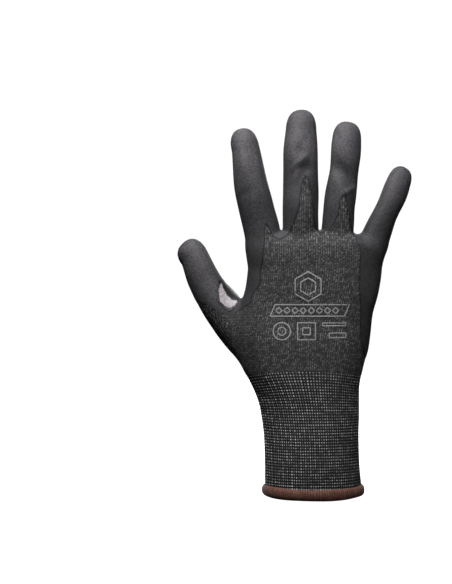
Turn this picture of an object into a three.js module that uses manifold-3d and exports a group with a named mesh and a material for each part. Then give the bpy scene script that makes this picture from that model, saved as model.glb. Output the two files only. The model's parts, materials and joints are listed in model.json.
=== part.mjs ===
// Cut-resistant work glove, right hand, size 8, standing upright with its fingers spread.
// A knitted liner is dipped in foam nitrile on the palm and fingers, and ends in a ribbed elastic cuff.
// Millimetres, +Z from the cuff to the fingertips, +Y out of the palm, -X towards the thumb.
// The origin is the centre of the hand opening, in the plane of the hem's lower rim.
import * as THREE from "three";
import { ParametricGeometry } from "three/addons/geometries/ParametricGeometry.js";
import { mergeVertices } from "three/addons/utils/BufferGeometryUtils.js";
import Module from "manifold-3d";

const wasm = await Module();
wasm.setup();

// ---------------------------------------------------------------- driving dimensions
const coatThick = 0.6; // foam nitrile dip
const layerGap = 0.3; // keeps the dip and the knit apart
const knitThick = 1.0; // knitted liner
const hingeSlack = 0.4; // free space on each side of a bending line
const sleeveGap = 0.35; // between a bending zone and the stiff lengths beside it
const fingerSides = 10; // facets round a finger
const palmSides = 20; // facets round the palm and the cuff
const palmSquareness = 2.3; // 2 is an ellipse, more is squarer
const domeRings = 1; // rings in a fingertip between its last station and its pole
const dipLineZ = 89; // where the dip ends above the wrist

const wrist = { x: -6.2, z: 80, halfWidth: 40, halfDepth: 22, bend: 35 };
const hem = { halfWidth: 29.9, halfDepth: 22.4, height: 6.2, bulge: 1.9, wall: 1.9, flat: 1.0 };
const elastic = { turns: 6, stepsPerTurn: 14, radius: 0.5, from: 10, to: 64, inset: 0.5 };

// A station is [x, y, z, half width, half depth] on a centre line.
const handLine = [
  [-0.2, 0, -6, 28.9, 21.5],
  [-0.4, 0, 8, 28.9, 21.4],
  [-0.6, 0, 28, 28.9, 21.0],
  [-3.2, 0, 57, 29.8, 20.3],
  [-5.8, 0, 72, 33.3, 20.2],
  [-7.0, 0, 86, 38.0, 19.4],
  [-6.0, 0, 100, 39.3, 18.0],
  [-2.6, 0, 117, 39.0, 16.4],
  [-0.2, 0, 138, 40.6, 15.2],
  [1.6, 0, 155, 41.9, 13.6],
  [1.8, 0, 163, 39.8, 9.0],
];
const digits = {
  index: {
    line: [
      [-30.5, 0, 152, 10.6, 10.2],
      [-32.2, 0, 164, 10.6, 9.9],
      [-34.7, 0.3, 176, 10.3, 9.6],
      [-37.7, 1.5, 190.7, 10.1, 9.3],
      [-40.0, 3.5, 204.7, 9.3, 8.7],
      [-42.0, 6.6, 219.5, 7.8, 7.4],
    ],
    dome: 8.9,
    levels: [172.5, 191, 209.5],
    splay: 10,
  },
  middle: {
    line: [
      [-7.8, 0, 152, 10.6, 10.4],
      [-7.8, 0, 164, 10.6, 10.2],
      [-7.9, 0.2, 178, 10.5, 9.9],
      [-8.1, 1.2, 192, 10.3, 9.6],
      [-7.8, 3.2, 209.6, 10.0, 9.1],
      [-7.5, 6.4, 229.5, 8.7, 8.0],
    ],
    dome: 11,
    levels: [173, 197, 218.5],
    splay: 0,
  },
  ring: {
    line: [
      [14.0, 0, 152, 9.6, 9.6],
      [14.7, 0, 164, 9.4, 9.4],
      [15.2, 0.3, 178.4, 9.1, 9.2],
      [17.0, 1.4, 190, 9.4, 8.9],
      [18.6, 3.2, 203, 9.0, 8.5],
      [21.1, 7.0, 223, 8.0, 7.5],
    ],
    dome: 10.3,
    levels: [173, 194, 213.5],
    splay: -5,
  },
  little: {
    line: [
      [33.0, 0, 149, 8.8, 8.6],
      [36.3, 0, 158.5, 8.5, 8.3],
      [40.3, 0.2, 168, 7.9, 7.7],
      [45.0, 1.0, 178, 7.5, 7.2],
      [49.6, 2.6, 188.8, 7.4, 6.9],
      [53.6, 4.8, 198.2, 6.6, 6.1],
    ],
    dome: 8,
    levels: [167.5, 181, 193],
    splay: -23,
  },
  thumb: {
    line: [
      [-26, 3, 86, 12, 12.6],
      [-38, 6.5, 98, 13.6, 12.6],
      [-50, 11, 113, 13.0, 12.0],
      [-61.3, 14.8, 128.4, 10.9, 10.7],
      [-73.8, 18.6, 150.6, 8.9, 8.7],
    ],
    dome: 9.3,
    levels: [113, 126, 140.5],
  },
};

// Bending ranges in degrees. Positive bends towards the palm. The thumb's root swings away from the palm,
// and its other two creases bend towards the index finger.
const fingerBends = [
  { crease: "root", range: [-15, 70] },
  { crease: "mid", range: [-5, 80] },
  { crease: "tip", range: [-5, 45] },
];
const thumbBends = [
  { crease: "root", range: [-35, 15], toward: [0, -1, 0], share: 0 },
  { crease: "mid", range: [-10, 40], toward: [1, 0.25, 0] },
  { crease: "tip", range: [-10, 60], toward: [1, 0.25, 0] },
];
const pivotShare = 0.45; // how far a bending line lies from the centre line to the skin that it bends towards

// The bare knit on the back of the hand, as seen from the back: [x, z].
const backWindow = [
  [-90, 60], [-90, 126], [-68, 119.5], [-52.5, 113], [-46.4, 114.2], [-39.9, 117.5], [-33.7, 123.5],
  [-33.2, 152], [-30.5, 160], [-19.6, 158.5], [-14.6, 162], [-11, 171], [-6, 193],
  [-4.2, 196], [-1.2, 184.6], [-0.8, 166], [3.6, 160], [10, 166], [14.7, 178], [19.4, 188.7],
  [22.5, 178], [23.6, 164.4], [26.3, 156], [27.8, 136], [27.8, 99], [26.3, 60],
];
const backWindowFrom = -60;
const backWindowTo = -1.5;

// ---------------------------------------------------------------- solids
function toSolid(geometry) {
  const bare = geometry.clone();
  bare.deleteAttribute("normal");
  bare.deleteAttribute("uv");
  const merged = mergeVertices(bare, 1e-4);
  const corners = Array.from(merged.index.array);
  const kept = [];
  for (let i = 0; i < corners.length; i += 3) {
    const [a, b, c] = corners.slice(i, i + 3);
    if (a !== b && b !== c && a !== c) kept.push(a, b, c);
  }
  const vertProperties = merged.attributes.position.array;
  const build = (triVerts) =>
    new wasm.Manifold(new wasm.Mesh({ numProp: 3, vertProperties, triVerts: new Uint32Array(triVerts) }));
  const made = build(kept);
  return made.volume() > 0 ? made : build(kept.reverse());
}

function toGeometry(solid) {
  const mesh = solid.getMesh();
  const points = new Float32Array(mesh.numVert * 3);
  for (let i = 0; i < mesh.numVert; i++) {
    points.set(mesh.vertProperties.subarray(i * mesh.numProp, i * mesh.numProp + 3), i * 3);
  }
  const geometry = new THREE.BufferGeometry();
  geometry.setAttribute("position", new THREE.BufferAttribute(points, 3));
  geometry.setIndex(new THREE.BufferAttribute(mesh.triVerts, 1));
  geometry.computeVertexNormals();
  return geometry;
}

const joinAll = (solids) => solids.reduce((sum, solid) => sum.add(solid));
const largestOf = (solid) => solid.decompose().reduce((best, other) => (other.volume() > best.volume() ? other : best));

// Rings of a loft: each has a centre, the directions across and out of the palm, and two half sizes.
function ringsAlong(line, grow, dome) {
  const centres = line.map(([x, y, z]) => new THREE.Vector3(x, y, z));
  const rings = centres.map((centre, i) => {
    const before = centres[Math.max(i - 1, 0)];
    const after = centres[Math.min(i + 1, centres.length - 1)];
    const along = after.clone().sub(before).normalize();
    const across = new THREE.Vector3(0, 1, 0).cross(along).normalize();
    const out = along.clone().cross(across);
    return { centre, along, across, out, w: line[i][3] + grow, d: line[i][4] + grow };
  });
  const first = rings[0];
  const last = rings[rings.length - 1];
  first.centre.addScaledVector(first.along, -grow);
  if (!dome) last.centre.addScaledVector(last.along, grow);
  if (dome) {
    for (let k = 1; k <= domeRings; k++) {
      const lift = (k / (domeRings + 0.6)) * (Math.PI / 2);
      const centre = last.centre.clone().addScaledVector(last.along, (dome + grow) * Math.sin(lift));
      rings.push({ ...last, centre, w: last.w * Math.cos(lift), d: last.d * Math.cos(lift) });
    }
  }
  const pole = last.centre.clone().addScaledVector(last.along, dome ? dome + grow : 0);
  return [{ ...first, w: 0, d: 0 }, ...rings, { ...last, centre: pole, w: 0, d: 0 }];
}

function loft(line, { grow = 0, dome = 0, sides = fingerSides, squareness = 2 }) {
  const rings = ringsAlong(line, grow, dome);
  const stacks = rings.length - 1;
  const surface = (u, v, target) => {
    const ring = rings[Math.round(v * stacks)];
    const angle = ((Math.round(u * sides) % sides) / sides) * 2 * Math.PI;
    const round = (value) => Math.sign(value) * Math.abs(value) ** (2 / squareness);
    target
      .copy(ring.centre)
      .addScaledVector(ring.across, ring.w * round(Math.cos(angle)))
      .addScaledVector(ring.out, ring.d * round(Math.sin(angle)));
  };
  return toSolid(new ParametricGeometry(surface, sides, stacks));
}

const handLoft = (grow) => loft(handLine, { grow, sides: palmSides, squareness: palmSquareness });

// One skin of the whole glove, grown or shrunk evenly from its outer surface.
function gloveSkin(grow) {
  const stalls = Object.values(digits).map((digit) => loft(digit.line, { grow, dome: digit.dome }));
  return joinAll([handLoft(grow), ...stalls]);
}

// Half widths and a centre at a given height on a centre line.
function sectionAt(line, z) {
  const i = Math.max(1, line.findIndex((station) => station[2] >= z));
  const [low, high] = [line[i - 1], line[i]];
  const share = (z - low[2]) / (high[2] - low[2]);
  const [x, y, height, w, d] = low.map((value, k) => value + share * (high[k] - value));
  const along = new THREE.Vector3(high[0] - low[0], high[1] - low[1], high[2] - low[2]).normalize();
  return { centre: new THREE.Vector3(x, y, height), along, w, d };
}

// A bending line: its pivot lies on the side that it bends towards, square to the centre line.
function makeHinge({ section, toward, range, share }) {
  const bendsTo = toward.clone().addScaledVector(section.along, -toward.dot(section.along)).normalize();
  const axis = section.along.clone().cross(bendsTo).normalize();
  const pivot = section.centre.clone().addScaledVector(bendsTo, share * section.d);
  return { ...section, bendsTo, axis, pivot, range };
}

// The hourglass of space that opens on both sides of a bending line, as a prism along the hinge.
function hourglass(hinge, slack, reach) {
  const [low, high] = hinge.range.map((angle) => Math.tan(THREE.MathUtils.degToRad(Math.abs(angle) / 2)));
  const outline = [
    [-slack, 0], [-slack - low * reach, -reach], [slack + low * reach, -reach],
    [slack, 0], [slack + high * reach, reach], [-slack - high * reach, reach],
  ].map(([s, q]) => new THREE.Vector2(s, q));
  const length = 2 * hinge.halfSpan;
  const prism = new THREE.ExtrudeGeometry(new THREE.Shape(outline), { depth: length, bevelEnabled: false });
  prism.translate(0, 0, -length / 2);
  const place = new THREE.Matrix4().makeBasis(hinge.along, hinge.bendsTo, hinge.axis);
  prism.applyMatrix4(place.setPosition(hinge.pivot));
  return toSolid(prism);
}

// ---------------------------------------------------------------- bending lines
const hinges = {
  wrist: {
    ...makeHinge({
      section: {
        centre: new THREE.Vector3(wrist.x, 0, wrist.z),
        along: new THREE.Vector3(0, 0, 1),
        w: wrist.halfWidth,
        d: wrist.halfDepth,
      },
      toward: new THREE.Vector3(0, 1, 0),
      range: [-wrist.bend, wrist.bend],
      share: 0,
    }),
    halfSpan: wrist.halfWidth + 4,
    reach: wrist.halfDepth + 2,
  },
};
for (const [name, digit] of Object.entries(digits)) {
  const bends = name === "thumb" ? thumbBends : fingerBends;
  bends.forEach(({ crease, range, toward = [0, 1, 0], share = pivotShare }, i) => {
    const section = sectionAt(digit.line, digit.levels[i]);
    const hinge = makeHinge({ section, toward: new THREE.Vector3(...toward), range, share });
    const reach = Math.max(section.w, section.d) * (1 + share) + 1.5;
    hinges[`${name}_${crease}`] = { ...hinge, halfSpan: Math.max(section.w, section.d) + 1.6, reach };
  });
}

// ---------------------------------------------------------------- liner, dip and bending zones
const skins = {
  dipOuter: gloveSkin(0),
  dipInner: gloveSkin(-coatThick),
  knitOuter: gloveSkin(-coatThick - layerGap),
  knitInner: gloveSkin(-coatThick - layerGap - knitThick),
};
const cutters = joinAll(Object.values(hinges).map((hinge) => hourglass(hinge, hingeSlack + sleeveGap, hinge.reach)));

function block(x0, x1, y0, y1, z0, z1) {
  const box = new THREE.BoxGeometry(x1 - x0, y1 - y0, z1 - z0);
  return toSolid(box.translate((x0 + x1) / 2, (y0 + y1) / 2, (z0 + z1) / 2));
}

// A flat outline in the X-Z plane, pushed along Y.
function slabOf(outline, holes, y0, y1) {
  const shape = new THREE.Shape(outline.map(([x, z]) => new THREE.Vector2(x, z)));
  shape.holes = holes.map((hole) => new THREE.Path(hole.map(([x, z]) => new THREE.Vector2(x, z))));
  const slab = new THREE.ExtrudeGeometry(shape, { depth: y1 - y0, bevelEnabled: false });
  return toSolid(slab.rotateX(Math.PI / 2).translate(0, y1, 0));
}

const belowHem = block(-60, 60, -60, 60, -30, hem.height);
const belowDip = block(-120, 120, -60, 60, -30, dipLineZ);
const knit = skins.knitOuter.subtract(skins.knitInner).subtract(cutters).subtract(belowHem);
const dip = skins.dipOuter
  .subtract(skins.dipInner)
  .subtract(slabOf(backWindow, [], backWindowFrom, backWindowTo))
  .subtract(belowDip)
  .subtract(cutters);

// Names of the stiff lengths, each with a point near its middle.
const lengths = { palm: [0, 0, 122], cuff: [-1, 0, 38] };
for (const [name, digit] of Object.entries(digits)) {
  const top = digit.line.at(-1)[2];
  ["base", "mid", "tip"].forEach((part, i) => {
    const z = (digit.levels[i] + (digit.levels[i + 1] ?? top)) / 2;
    lengths[`${name}_${part}`] = sectionAt(digit.line, z).centre.toArray();
  });
}

// Shares the separate solids of a cut shell out by name, each to the nearest middle.
function shareOut(shell) {
  const found = {};
  for (const solid of shell.decompose()) {
    const box = solid.boundingBox();
    const middle = new THREE.Vector3(...box.min).add(new THREE.Vector3(...box.max)).multiplyScalar(0.5);
    const distance = (name) => middle.distanceTo(new THREE.Vector3(...lengths[name]));
    const name = Object.keys(lengths).reduce((best, other) => (distance(other) < distance(best) ? other : best));
    if (!found[name] || found[name].volume() < solid.volume()) found[name] = solid;
  }
  return found;
}

// ---------------------------------------------------------------- cuff trim
// The overlocked hem: a ring whose section is a flat-bottomed roll round the knit's cut edge.
function hemRing() {
  const section = [];
  const corners = 10;
  for (let k = 0; k <= corners; k++) {
    const turn = (k / corners) * Math.PI;
    section.push([hem.bulge * Math.sin(turn), hem.height / 2 - (hem.height / 2 - 0.01) * Math.cos(turn)]);
  }
  const profile = [[-hem.wall, 0], [hem.flat, 0], ...section.slice(2, -2), [hem.flat, hem.height - 0.3],
    [-hem.wall, hem.height - 0.3]];
  const surface = (u, v, target) => {
    const angle = ((Math.round(u * palmSides) % palmSides) / palmSides) * 2 * Math.PI;
    const [out, z] = profile[Math.round(v * profile.length) % profile.length];
    target.set((hem.halfWidth + out) * Math.cos(angle), (hem.halfDepth + out) * Math.sin(angle), z);
  };
  return toSolid(new ParametricGeometry(surface, palmSides, profile.length));
}

// The rubber thread laid into the rib: one helix just inside the knit.
class ElasticCurve extends THREE.Curve {
  getPoint(t, target = new THREE.Vector3()) {
    const z = elastic.from + t * (elastic.to - elastic.from);
    const { centre, w, d } = sectionAt(handLine, z);
    const shrink = coatThick + layerGap + knitThick + elastic.inset + elastic.radius;
    const angle = t * elastic.turns * 2 * Math.PI;
    return target.set(centre.x + (w - shrink) * Math.cos(angle), (d - shrink) * Math.sin(angle), z);
  }
}
function elasticThread() {
  const section = new THREE.Shape().absarc(0, 0, elastic.radius, 0, 2 * Math.PI);
  return toSolid(
    new THREE.ExtrudeGeometry(section, {
      steps: elastic.turns * elastic.stepsPerTurn,
      curveSegments: 2,
      extrudePath: new ElasticCurve(),
      bevelEnabled: false,
    }),
  );
}

// ---------------------------------------------------------------- patch and print on the palm piece
const printLift = 0.3; // clear of the knit's outer face
const printThick = 0.3;

function rectangle(x0, x1, z0, z1) {
  return [[x0, z0], [x1, z0], [x1, z1], [x0, z1]];
}
function circle(x, z, radius, count = 14) {
  return Array.from({ length: count }, (_, k) => {
    const angle = (k / count) * 2 * Math.PI;
    return [x + radius * Math.cos(angle), z + radius * Math.sin(angle)];
  });
}
const hexagon = (x, z, radius) => circle(x, z, radius, 6);
const printMarks = {
  print_emblem: [hexagon(-4, 129.5, 9), [hexagon(-4, 129.5, 7.4)]],
  print_band: [[[-27, 111.5], [18, 111.5], [21, 118.5], [-24, 118.5]], [[[-24.9, 113], [17, 113], [19, 117], [-23, 117]]]],
  print_ring: [circle(-20, 102.5, 5.6), [circle(-20, 102.5, 4.3)]],
  print_tile: [rectangle(-10.5, 0.5, 97.2, 107.8), [rectangle(-9.2, -0.8, 98.5, 106.5)]],
  print_line_upper: [rectangle(4.5, 19, 105.6, 107.4), []],
  print_line_lower: [rectangle(8.5, 19, 98.4, 101.6), []],
};
function printOn(outline, holes) {
  const base = -coatThick - layerGap + printLift;
  const shell = handLoft(base + printThick).subtract(handLoft(base));
  return shell.intersect(slabOf(outline, holes, backWindowFrom, 0));
}

// The reinforcing patch over the thumb crotch lies on the dip, where the thumb leaves the palm.
const patch = { centre: new THREE.Vector3(-45, 9, 121), radius: 13.5, lift: 0.3, thick: 0.5 };
function crotchPatch() {
  const ball = toSolid(new THREE.SphereGeometry(patch.radius, 14, 10).translate(...patch.centre.toArray()));
  const outer = gloveSkin(patch.lift + patch.thick).subtract(gloveSkin(patch.lift));
  return largestOf(outer.intersect(ball));
}

// ---------------------------------------------------------------- the assembly
const finishes = {
  knit: new THREE.MeshStandardMaterial({ color: "#3e3d3e", roughness: 0.95, metalness: 0 }),
  dip: new THREE.MeshStandardMaterial({ color: "#47464a", roughness: 0.75, metalness: 0 }),
  zone: new THREE.MeshStandardMaterial({ color: "#3b3b3d", roughness: 0.85, metalness: 0 }),
  rib: new THREE.MeshStandardMaterial({ color: "#363536", roughness: 0.95, metalness: 0 }),
  hem: new THREE.MeshStandardMaterial({ color: "#60443a", roughness: 0.9, metalness: 0 }),
  rubber: new THREE.MeshStandardMaterial({ color: "#1d1d1f", roughness: 0.6, metalness: 0 }),
  print: new THREE.MeshStandardMaterial({ color: "#87868a", roughness: 0.6, metalness: 0 }),
  patch: new THREE.MeshStandardMaterial({ color: "#6d686b", roughness: 0.35, metalness: 0 }),
};
const glove = new THREE.Group();

function addNode(name, solid, finish, bendingLine) {
  const mesh = new THREE.Mesh(toGeometry(solid), finish);
  mesh.name = name;
  mesh.userData.bendingLine = bendingLine;
  glove.add(mesh);
}

for (const [name, solid] of Object.entries(shareOut(knit))) {
  addNode(name === "cuff" ? "cuff_rib" : `${name}_liner`, solid, name === "cuff" ? finishes.rib : finishes.knit);
}
for (const [name, solid] of Object.entries(shareOut(dip))) {
  addNode(`${name}_coating`, solid, finishes.dip);
}
const zoneWall = gloveSkin(-coatThick / 2).subtract(skins.knitInner);
for (const [name, hinge] of Object.entries(hinges)) {
  const crease = largestOf(zoneWall.intersect(hourglass(hinge, hingeSlack, hinge.reach)));
  addNode(`${name}_crease`, crease, finishes.zone, { pivot: hinge.pivot, axis: hinge.axis, range: hinge.range });
}
addNode("hem_overlock", hemRing(), finishes.hem);
addNode("cuff_elastic", elasticThread(), finishes.rubber);
addNode("thumb_crotch_patch", crotchPatch(), finishes.patch);
for (const [name, [outline, holes]] of Object.entries(printMarks)) {
  addNode(name, printOn(outline, holes), finishes.print);
}

export default glove;
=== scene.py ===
import json
import math
import bpy
import numpy as np
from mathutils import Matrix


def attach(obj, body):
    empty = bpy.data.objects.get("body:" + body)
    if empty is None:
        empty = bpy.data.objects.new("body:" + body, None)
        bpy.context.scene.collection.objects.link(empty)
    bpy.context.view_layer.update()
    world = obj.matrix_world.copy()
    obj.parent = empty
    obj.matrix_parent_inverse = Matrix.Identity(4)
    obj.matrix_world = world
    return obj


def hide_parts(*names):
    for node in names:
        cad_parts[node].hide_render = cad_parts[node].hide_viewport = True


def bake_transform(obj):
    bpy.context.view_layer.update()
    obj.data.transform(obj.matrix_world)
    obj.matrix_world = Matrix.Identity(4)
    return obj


# A knitted work glove with a foam dip, standing on its cuff with the back of the hand towards the camera.
# Shapes are worked out in millimetres and go into the meshes in metres.

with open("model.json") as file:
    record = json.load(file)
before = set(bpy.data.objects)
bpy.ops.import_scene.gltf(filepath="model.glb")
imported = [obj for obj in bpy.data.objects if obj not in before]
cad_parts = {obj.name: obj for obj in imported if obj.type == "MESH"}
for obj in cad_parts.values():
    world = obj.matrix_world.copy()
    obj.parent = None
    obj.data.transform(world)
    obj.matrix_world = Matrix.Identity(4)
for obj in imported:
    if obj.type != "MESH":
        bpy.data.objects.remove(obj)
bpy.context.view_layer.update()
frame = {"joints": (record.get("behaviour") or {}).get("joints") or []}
mm = 0.001
joints = {joint["name"]: joint for joint in frame["joints"]}
rng = np.random.default_rng(8)

# Camera and light.
view = {"place": (-0.0537, -1.0, 0.1262), "lens": 100.3, "sensor": 36.0, "far": 60.0}


def addCamera():
    data = bpy.data.cameras.new("camera")
    data.lens = view["lens"]
    data.sensor_width = view["sensor"]
    data.clip_end = view["far"]
    camera = bpy.data.objects.new("camera", data)
    camera.location = view["place"]
    camera.rotation_euler = (math.pi / 2, 0.0, 0.0)
    bpy.context.scene.collection.objects.link(camera)
    bpy.context.scene.camera = camera


lamps = {
    "top": {"place": (-0.12, -0.17, 0.60), "size": 0.36, "power": 4.9},
    "key": {"place": (-0.80, -0.95, 0.95), "size": 0.60, "power": 2.3},
    "fill": {"place": (1.05, -0.85, 0.12), "size": 1.0, "power": 4.4},
    "web": {"place": (0.05, -0.30, 0.52), "size": 0.20, "power": 0.45},
    "rear": {"place": (0.10, 1.25, 0.45), "size": 1.0, "power": 15.0},
}
lampAim = (0.0, 0.0, 0.13)


def addLamps():
    for name, lamp in lamps.items():
        data = bpy.data.lights.new(name, "AREA")
        data.size = lamp["size"]
        data.energy = lamp["power"]
        light = bpy.data.objects.new(name, data)
        light.location = lamp["place"]
        aim = np.array(lampAim) - np.array(lamp["place"])
        flat = math.hypot(aim[0], aim[1])
        light.rotation_euler = (math.atan2(flat, -aim[2]), 0.0, math.atan2(-aim[0], aim[1]))
        bpy.context.scene.collection.objects.link(light)


def addWorld():
    # the white surround is seen but leaves the lighting to the lamps
    scene = bpy.context.scene
    world = bpy.data.worlds.new("studio")
    world.use_nodes = True
    backdrop = world.node_tree.nodes["Background"]
    backdrop.inputs["Color"].default_value = (1.0, 1.0, 1.0, 1.0)
    backdrop.inputs["Strength"].default_value = 1.05
    world.cycles_visibility.diffuse = False
    world.cycles_visibility.glossy = False
    scene.world = world
    scene.view_settings.view_transform = "Standard"


addCamera()
addLamps()
addWorld()
print("camera, lamps and world are set")

# The hand's form.
# A station of the hand is a height with the section's middle in X, its half width,
# its depths to the back and palm, and how square it is. Above capFrom it is rounded off over cap.
handForm = {
    "height": (-4, 10, 24, 37, 48, 59, 69, 78, 90, 100, 110, 118, 129, 140, 151, 159),
    "middle": (-0.3, -0.3, -0.7, -1.1, -1.9, -3.1, -4.9, -6.4, -7.1, -6.6, -4.8, -3.0, -0.9, 0.7, 1.0, 1.0),
    "width": (29.2, 29.2, 28.9, 29.1, 29.7, 30.6, 33.2, 36.8, 40.2, 41.2, 41.1, 40.7, 39.9, 40.5, 41.3, 41.4),
    "back": (21.3, 21.3, 21.0, 20.8, 20.4, 20.1, 20.0, 19.9, 19.2, 18.2, 17.2, 16.4, 15.6, 14.8, 14.0, 13.2),
    "palm": (21.5, 21.5, 21.1, 20.8, 20.5, 20.3, 20.4, 20.8, 20.8, 20.0, 18.6, 17.4, 16.2, 15.6, 15.2, 14.2),
    "squareness": (2.15, 2.15, 2.15, 2.15, 2.15, 2.2, 2.25, 2.3, 2.35, 2.4, 2.45, 2.5, 2.5, 2.45, 2.4, 2.4),
    "capFrom": 150.5,
    "cap": 13.0,
    "widthLimit": 30.0,
    "steepness": 0.75,
}

# A digit's stations run from inside the palm to where its rounded end starts.
digitForms = {
    "index": {
        "place": ((-29.8, 0, 152), (-32.2, 0, 166), (-34.9, 0.3, 176), (-37.9, 1.3, 190), (-40.2, 3.7, 204.5),
                  (-41.5, 6.6, 214.5)),
        "width": (10.4, 10.5, 10.2, 9.8, 9.1, 8.2),
        "depth": (10.0, 9.9, 9.7, 9.4, 8.8, 8.0),
        "cap": 12.9,
    },
    "middle": {
        "place": ((-7.6, 0, 152), (-7.6, 0, 167), (-7.7, 0.2, 178), (-7.7, 1.1, 190), (-7.4, 3.5, 210),
                  (-7.4, 7.0, 226)),
        "width": (10.5, 10.5, 10.5, 10.4, 10.0, 9.2),
        "depth": (10.2, 10.2, 9.9, 9.6, 9.0, 8.3),
        "cap": 14.2,
    },
    "ring": {
        "place": ((14.6, 0, 152), (15.2, 0, 167), (15.7, 0.3, 178), (18.0, 1.5, 191.5), (19.9, 3.9, 207),
                  (21.6, 7.2, 220)),
        "width": (9.6, 9.4, 8.8, 9.4, 8.8, 8.3),
        "depth": (9.5, 9.3, 9.1, 8.9, 8.4, 7.7),
        "cap": 12.2,
    },
    "little": {
        "place": ((32.2, 0, 147), (37.4, 0, 158.9), (43.4, 0.2, 172.2), (49.3, 1.8, 185), (53.5, 4.2, 194.2)),
        "width": (8.6, 8.1, 7.4, 7.3, 7.0),
        "depth": (8.6, 8.1, 7.4, 7.1, 6.6),
        "cap": 10.5,
    },
    "thumb": {
        "place": ((-29, 4, 89), (-41, 8, 100), (-53.2, 12.0, 113), (-65.0, 15.8, 130.6), (-69.6, 17.2, 138.8),
                  (-73.9, 19.2, 148.4)),
        "width": (13.6, 14.4, 12.4, 9.9, 9.5, 8.6),
        "depth": (12.8, 12.8, 11.6, 9.9, 9.5, 8.7),
        "cap": 10.0,
    },
}
# How softly each digit runs into the hand, and how round sections (2 is an ellipse) and ends are.
webRadius = {"index": 3.4, "middle": 2.4, "ring": 2.4, "little": 3.4, "thumb": 5.5}
digitRoundness = 2.1
capRoundness = 2.5


def curveThrough(knots, values, t):
    # cubic pieces through the values, with slopes taken from their neighbours, held still past both ends
    knots = np.asarray(knots, float)
    values = np.asarray(values, float)
    slopes = np.gradient(values, knots)
    t = np.clip(t, knots[0], knots[-1])
    i = np.clip(np.searchsorted(knots, t, side="right") - 1, 0, len(knots) - 2)
    step = knots[i + 1] - knots[i]
    x = (t - knots[i]) / step
    rise = values[i] * (2 * x**3 - 3 * x**2 + 1) + values[i + 1] * (3 * x**2 - 2 * x**3)
    return rise + step * (slopes[i] * (x**3 - 2 * x**2 + x) + slopes[i + 1] * (x**3 - x**2))


def easeBetween(low, high, t):
    # 0 up to low and 1 from high on, with a smooth cubic between them
    x = np.clip((t - low) / (high - low), 0.0, 1.0)
    return x * x * (3 - 2 * x)


def signedPower(value, power):
    return np.sign(value) * np.abs(value) ** power


def shareGone(x, y):
    # share of a line's length that lies before each of its points
    gone = np.concatenate(([0.0], np.cumsum(np.hypot(np.diff(x), np.diff(y)))))
    return gone / gone[-1]


def unit(vector):
    vector = np.asarray(vector, float)
    return vector / np.linalg.norm(vector)


for form in digitForms.values():
    place = np.array(form["place"], float)
    form["base"] = place[0]
    form["along"] = unit(place[-1] - place[0])
    form["across"] = unit(np.cross((0.0, 1.0, 0.0), form["along"]))
    form["out"] = np.cross(form["along"], form["across"])
    form["reach"] = (place - place[0]) @ form["along"]
    form["driftAcross"] = (place - place[0]) @ form["across"]
    form["driftOut"] = (place - place[0]) @ form["out"]
    form["endSlope"] = (form["driftOut"][-1] - form["driftOut"][-2]) / (form["reach"][-1] - form["reach"][-2])


def digitPlace(points, form):
    # distance along a digit and offsets from its middle line
    away = points - form["base"]
    along = away @ form["along"]
    across = away @ form["across"] - curveThrough(form["reach"], form["driftAcross"], along)
    past = np.maximum(along - form["reach"][-1], 0.0)
    out = away @ form["out"] - curveThrough(form["reach"], form["driftOut"], along) - form["endSlope"] * past
    return along, across, out


def digitField(points, form):
    # how far outside a tapering rounded tube with a blunt end: 0 on its skin, negative inside
    along, across, out = digitPlace(points, form)
    width = curveThrough(form["reach"], form["width"], along)
    depth = curveThrough(form["reach"], form["depth"], along)
    ring = np.abs(across / width) ** digitRoundness + np.abs(out / depth) ** digitRoundness
    ring **= 1 / digitRoundness
    beyond = np.maximum(along - form["reach"][-1], 0.0) / form["cap"]
    before = np.maximum(-along, 0.0) / form["cap"]
    shape = (ring**capRoundness + beyond**capRoundness + before**capRoundness) ** (1 / capRoundness)
    return (shape - 1.0) * 0.5 * (width + depth)


def handSection(height):
    # the hand's section values at each height
    return {name: curveThrough(handForm["height"], handForm[name], height)
            for name in ("middle", "width", "back", "palm", "squareness")}


def handField(points):
    # how far outside the hand's rounded oval sections: 0 on the skin, negative inside
    x, y, z = points.T
    part = handSection(z)
    depth = np.where(y < 0, part["back"], part["palm"])
    power = part["squareness"]
    ring = (np.abs((x - part["middle"]) / part["width"]) ** power + np.abs(y / depth) ** power) ** (1 / power)
    beyond = np.maximum(z - handForm["capFrom"], 0.0) / handForm["cap"]
    shape = (ring**capRoundness + beyond**capRoundness) ** (1 / capRoundness)
    halfSize = 0.5 * (np.minimum(part["width"], handForm["widthLimit"]) + depth)
    return (shape - 1.0) * halfSize * handForm["steepness"]


# Hollows and folds on the back: middle in X and Z, half length, half breadth, turn in degrees, height.
backFolds = (
    (-5.0, 201.6, 4.2, 3.3, 80, -1.9),
    (-8.8, 212.4, 3.8, 2.8, 100, -1.1),
    (-8.4, 205.6, 6.4, 1.8, 40, 0.85),
    (-11.0, 197.0, 6.0, 1.9, 58, 0.5),
    (-3.4, 222.0, 7.0, 2.6, 60, -0.5),
    (-43.4, 207.0, 15.0, 2.6, 98, 0.5),
    (-37.6, 206.0, 12.0, 2.8, 98, -0.6),
    (-40.0, 187.0, 5.0, 2.4, 35, -0.5),
    (18.4, 199.0, 9.6, 4.6, 128, -3.3),
    (12.6, 190.0, 11.0, 2.6, 84, -0.6),
    (22.6, 192.2, 4.2, 2.0, 118, -1.0),
    (21.4, 187.8, 4.2, 1.5, 35, 1.1),
    (17.6, 185.4, 2.6, 0.9, 60, 0.45),
    (-38.0, 186.0, 17.0, 3.6, 98, 0.35),
    (-19.6, 160.6, 4.6, 2.0, 15, 0.8),
    (25.8, 157.0, 5.4, 2.0, -30, 0.5),
    (6.2, 162.0, 4.4, 1.8, 30, 0.4),
    (-66.5, 117.8, 5.0, 2.4, 130, -0.5),
)
foldSide = {"none": 3.0, "full": -4.0}
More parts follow.
